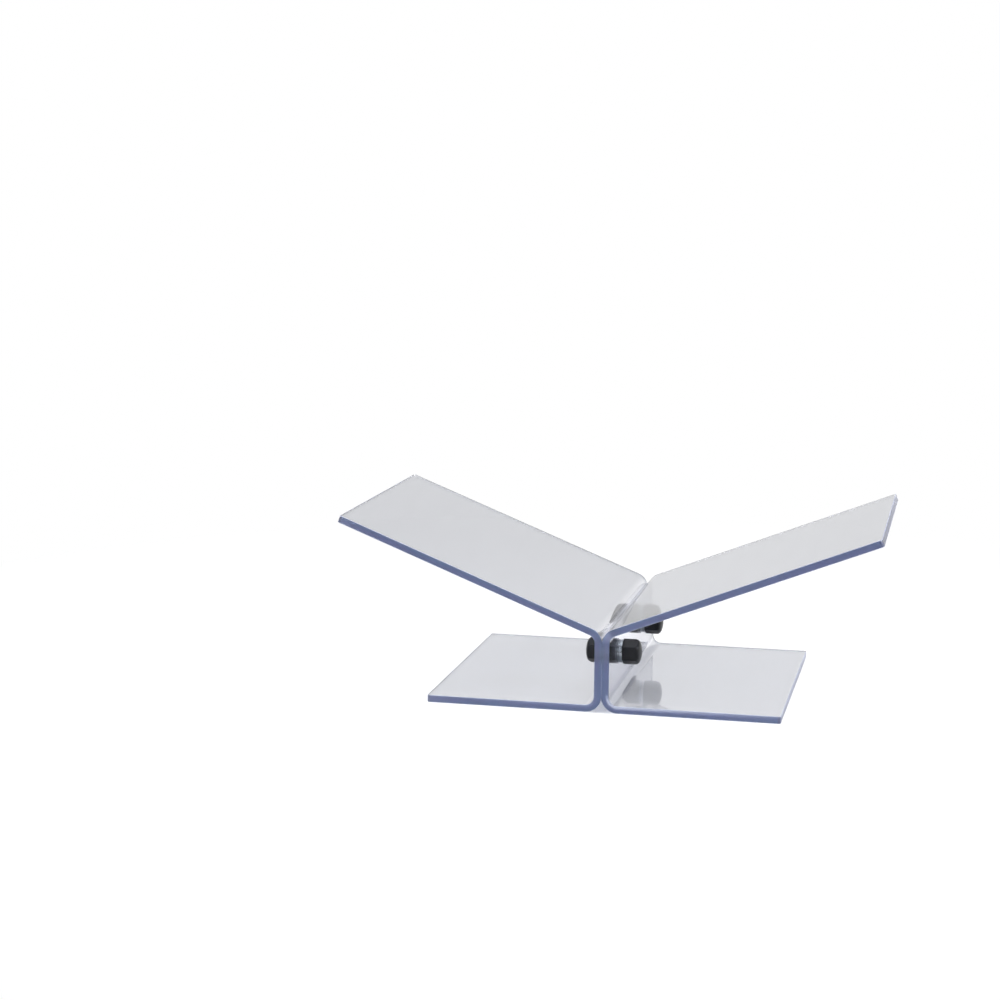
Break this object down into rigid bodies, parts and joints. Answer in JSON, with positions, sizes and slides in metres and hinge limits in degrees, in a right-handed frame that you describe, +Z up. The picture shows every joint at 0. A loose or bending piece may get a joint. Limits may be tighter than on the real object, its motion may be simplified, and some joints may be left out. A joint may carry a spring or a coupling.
{
  "type": "book stand",
  "caption": "Clear book stand of two bent sheets bolted back to back, each with a flat base, an upright web and a sloping wing that holds one side of an open book.",
  "frame": {"origin": "on the table, on the joint between the two halves, midway from front to back", "axes": "+X across the open book to the reader's right, +Y from the reader's side to the back, +Z up"},
  "size_m": [0.3666, 0.2, 0.1261],
  "materials": {
    "clear_sheet": "clear rigid sheet with polished faces and blue-violet cut edges",
    "zinc_steel": "bright zinc-plated steel",
    "black_cap": "satin moulded black polyethylene"
  },
  "bodies": {
    "left_half": {"left_panel": "clear_sheet", "front_bolt": "zinc_steel", "rear_bolt": "zinc_steel", "front_head_washer": "zinc_steel", "rear_head_washer": "zinc_steel"},
    "right_half": {"right_panel": "clear_sheet", "front_nut_washer": "zinc_steel", "rear_nut_washer": "zinc_steel"},
    "front_nut": {"front_nut": "zinc_steel"},
    "rear_nut": {"rear_nut": "zinc_steel"},
    "front_head_cap": {"front_head_cap": "black_cap"},
    "rear_head_cap": {"rear_head_cap": "black_cap"},
    "front_nut_cap": {"front_nut_cap": "black_cap"},
    "rear_nut_cap": {"rear_nut_cap": "black_cap"}
  },
  "joints": [
    {"name": "halves_spread", "type": "slide", "parent": "left_half", "child": "right_half", "axis": [1, 0, 0], "range_m": [0, 0.004]},
    {"name": "front_nut_turn", "type": "hinge", "parent": "right_half", "child": "front_nut", "pos_m": [0.0066, -0.05, 0.0316], "axis": [1, 0, 0], "range_deg": [0, 1152]},
    {"name": "rear_nut_turn", "type": "hinge", "parent": "right_half", "child": "rear_nut", "pos_m": [0.0066, 0.05, 0.0316], "axis": [1, 0, 0], "range_deg": [0, 1152]},
    {"name": "front_nut_cap_pull", "type": "slide", "parent": "front_nut", "child": "front_nut_cap", "axis": [1, 0, 0], "range_m": [0, 0.012]},
    {"name": "rear_nut_cap_pull", "type": "slide", "parent": "rear_nut", "child": "rear_nut_cap", "axis": [1, 0, 0], "range_m": [0, 0.012]},
    {"name": "front_head_cap_pull", "type": "slide", "parent": "left_half", "child": "front_head_cap", "axis": [-1, 0, 0], "range_m": [0, 0.006]},
    {"name": "rear_head_cap_pull", "type": "slide", "parent": "left_half", "child": "rear_head_cap", "axis": [-1, 0, 0], "range_m": [0, 0.006]}
  ],
  "couplings": [
    {"joint": "front_nut_turn", "follows": "halves_spread", "rad_per_m": 5026.5},
    {"joint": "rear_nut_turn", "follows": "halves_spread", "rad_per_m": 5026.5}
  ]
}
